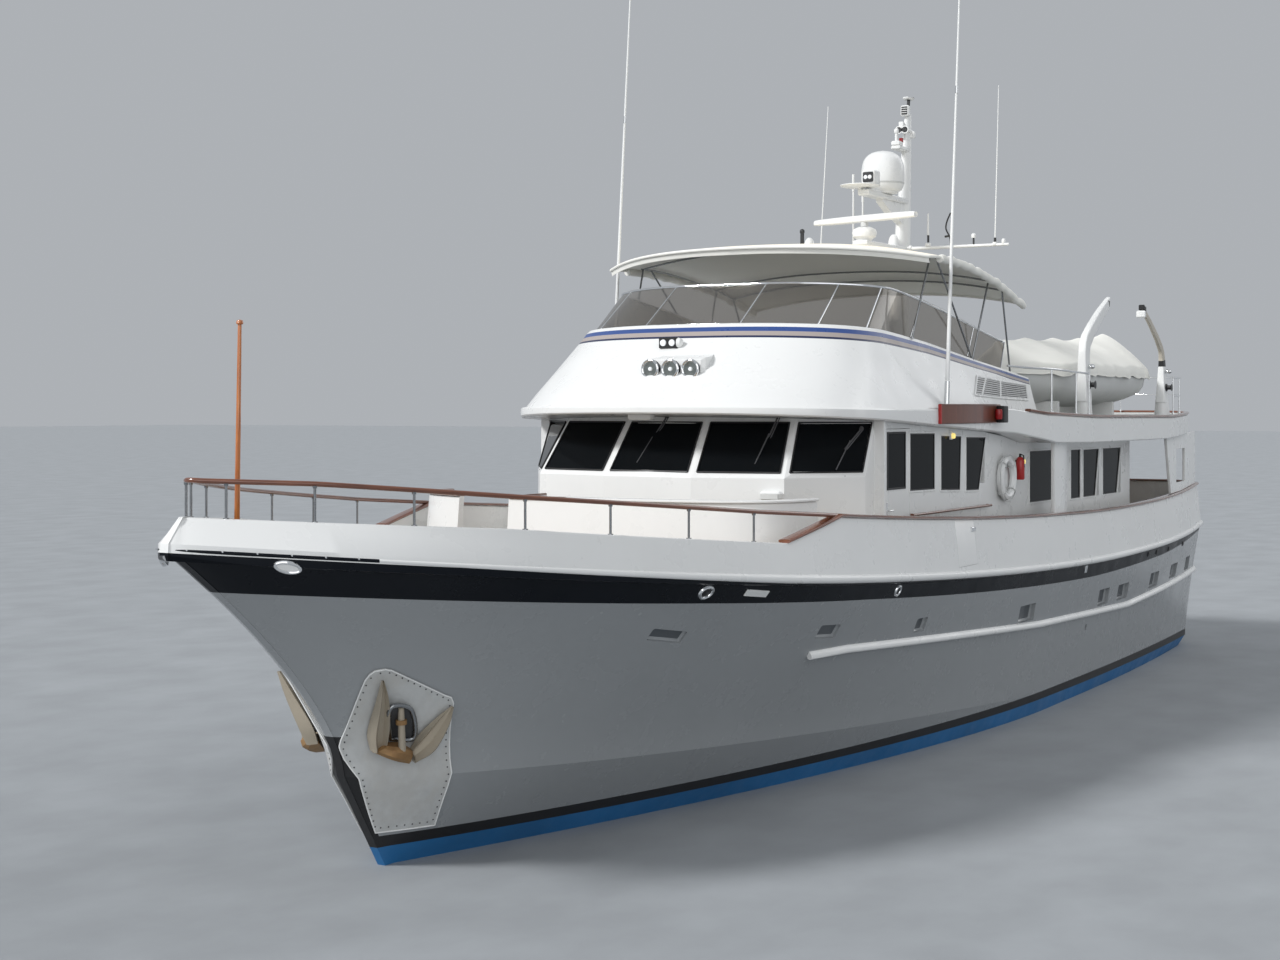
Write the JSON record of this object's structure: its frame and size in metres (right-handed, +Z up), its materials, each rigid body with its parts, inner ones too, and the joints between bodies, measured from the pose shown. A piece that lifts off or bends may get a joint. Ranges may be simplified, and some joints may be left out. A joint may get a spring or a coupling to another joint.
{
  "type": "motor yacht",
  "caption": "Raised-pilothouse displacement motor yacht with full bow flare, Portuguese bridge, covered side decks, flybridge with bimini, boat deck with tender and davits, radar mast.",
  "frame": {"origin": "on the waterplane, on the centreline, midway along the waterline", "axes": "+Z up, bow towards -Y, port side towards +X"},
  "size_m": [6.91, 29.11, 14.7192],
  "materials": {
    "hull_paint": "gloss",
    "white_paint": "gloss",
    "teak_deck": "weathered",
    "varnished_wood": "varnished",
    "stainless": "polished",
    "window_glass": "tinted",
    "canvas": "woven",
    "upholstery": "matte",
    "bronze": "satin",
    "galvanised": "stained",
    "dark_trim": "matte"
  },
  "bodies": {
    "root": {"hull": "hull_paint", "main_deck": "teak_deck", "bulwark": "white_paint", "cap_rail_aft": "varnished_wood", "cap_rail_port": "varnished_wood", "cap_rail_starboard": "varnished_wood", "bow_rail": "varnished_wood", "jackstaff": "varnished_wood", "windlass": "stainless", "breastwork": "white_paint", "pilothouse": "white_paint", "pilothouse_glass": "window_glass", "helm_console": "dark_trim", "helm_seat": "upholstery", "saloon": "white_paint", "saloon_sofa": "upholstery", "boat_deck": "white_paint", "boat_deck_cap": "varnished_wood", "boat_deck_rail": "stainless", "boat_deck_rail_forward": "stainless", "flybridge_coaming": "white_paint", "windscreen": "window_glass", "windscreen_rail": "stainless", "flybridge_console": "white_paint", "flybridge_seats": "upholstery", "bimini_cover": "canvas", "bimini_frame": "stainless", "mast": "white_paint", "satellite_dome": "white_paint", "tender": "white_paint", "tender_cover": "canvas", "anchor_plate_port": "stainless", "anchor_plate_starboard": "stainless", "anchor_port": "galvanised", "anchor_starboard": "galvanised", "house_glass_port": "window_glass", "house_glass_starboard": "window_glass", "aft_wing_port": "white_paint", "aft_wing_starboard": "white_paint", "side_light_board_port": "varnished_wood", "side_light_board_starboard": "varnished_wood", "whip_aerial_port": "white_paint", "whip_aerial_starboard": "white_paint"},
    "bulwark_gate_port": {"bulwark_gate_port": "white_paint"},
    "bulwark_gate_starboard": {"bulwark_gate_starboard": "white_paint"},
    "pilothouse_door_port": {"pilothouse_door_port": "white_paint"},
    "pilothouse_door_starboard": {"pilothouse_door_starboard": "white_paint"},
    "propeller_port": {"propeller_port": "bronze"},
    "propeller_starboard": {"propeller_starboard": "bronze"},
    "rudder_port": {"rudder_port": "bronze"},
    "rudder_starboard": {"rudder_starboard": "bronze"},
    "hatch_lid": {"hatch_lid": "white_paint"},
    "breastwork_gate": {"breastwork_gate": "white_paint"},
    "saloon_door": {"saloon_door": "white_paint"},
    "radar_array": {"radar_array": "white_paint"},
    "davit_forward": {"davit_forward": "white_paint"},
    "davit_aft": {"davit_aft": "white_paint"}
  },
  "joints": [
    {"name": "propeller_port_spin", "type": "hinge", "parent": "root", "child": "propeller_port", "pos_m": [1.15, 10.4, -1.18], "axis": [0, 0.9966, -0.0821], "continuous": true},
    {"name": "rudder_port_steer", "type": "hinge", "parent": "root", "child": "rudder_port", "pos_m": [1.15, 11.65, -0.64], "axis": [0, 0, 1], "range_deg": [-35, 35]},
    {"name": "pilothouse_door_port_swing", "type": "hinge", "parent": "root", "child": "pilothouse_door_port", "pos_m": [2.7, -3.636, 3.9], "axis": [0, 0, -1], "range_deg": [0, 90]},
    {"name": "bulwark_gate_port_swing", "type": "hinge", "parent": "root", "child": "bulwark_gate_port", "pos_m": [3.44, -2.506, 3], "axis": [0, 0, 1], "range_deg": [0, 90]},
    {"name": "propeller_starboard_spin", "type": "hinge", "parent": "root", "child": "propeller_starboard", "pos_m": [-1.15, 10.4, -1.18], "axis": [0, 0.9966, -0.0821], "continuous": true},
    {"name": "rudder_starboard_steer", "type": "hinge", "parent": "root", "child": "rudder_starboard", "pos_m": [-1.15, 11.65, -0.64], "axis": [0, 0, 1], "range_deg": [-35, 35]},
    {"name": "pilothouse_door_starboard_swing", "type": "hinge", "parent": "root", "child": "pilothouse_door_starboard", "pos_m": [-2.7, -3.636, 3.9], "axis": [0, 0, 1], "range_deg": [0, 90]},
    {"name": "bulwark_gate_starboard_swing", "type": "hinge", "parent": "root", "child": "bulwark_gate_starboard", "pos_m": [-3.44, -2.506, 3], "axis": [0, 0, -1], "range_deg": [0, 90]},
    {"name": "radar_spin", "type": "hinge", "parent": "root", "child": "radar_array", "pos_m": [0, 1, 8.4004], "axis": [0, 0, 1], "continuous": true},
    {"name": "hatch_lid_open", "type": "hinge", "parent": "root", "child": "hatch_lid", "pos_m": [0, -10.955, 3.4523], "axis": [-1, 0, 0], "range_deg": [0, 95]},
    {"name": "breastwork_gate_close", "type": "hinge", "parent": "root", "child": "breastwork_gate", "pos_m": [-0.974, -8.54, 3.5], "axis": [0, 0, 1], "range_deg": [0, 74]},
    {"name": "saloon_door_slide", "type": "slide", "parent": "root", "child": "saloon_door", "axis": [1, 0, 0], "range_m": [0, 0.92]},
    {"name": "davit_forward_slew", "type": "hinge", "parent": "root", "child": "davit_forward", "pos_m": [3.08, 3.8, 5.3204], "axis": [0, 0, -1], "range_deg": [-60, 110]},
    {"name": "davit_aft_slew", "type": "hinge", "parent": "root", "child": "davit_aft", "pos_m": [3.08, 9.1, 5.3204], "axis": [0, 0, 1], "range_deg": [-60, 110]}
  ],
  "couplings": [
    {"joint": "rudder_starboard_steer", "follows": "rudder_port_steer", "ratio": 1}
  ]
}
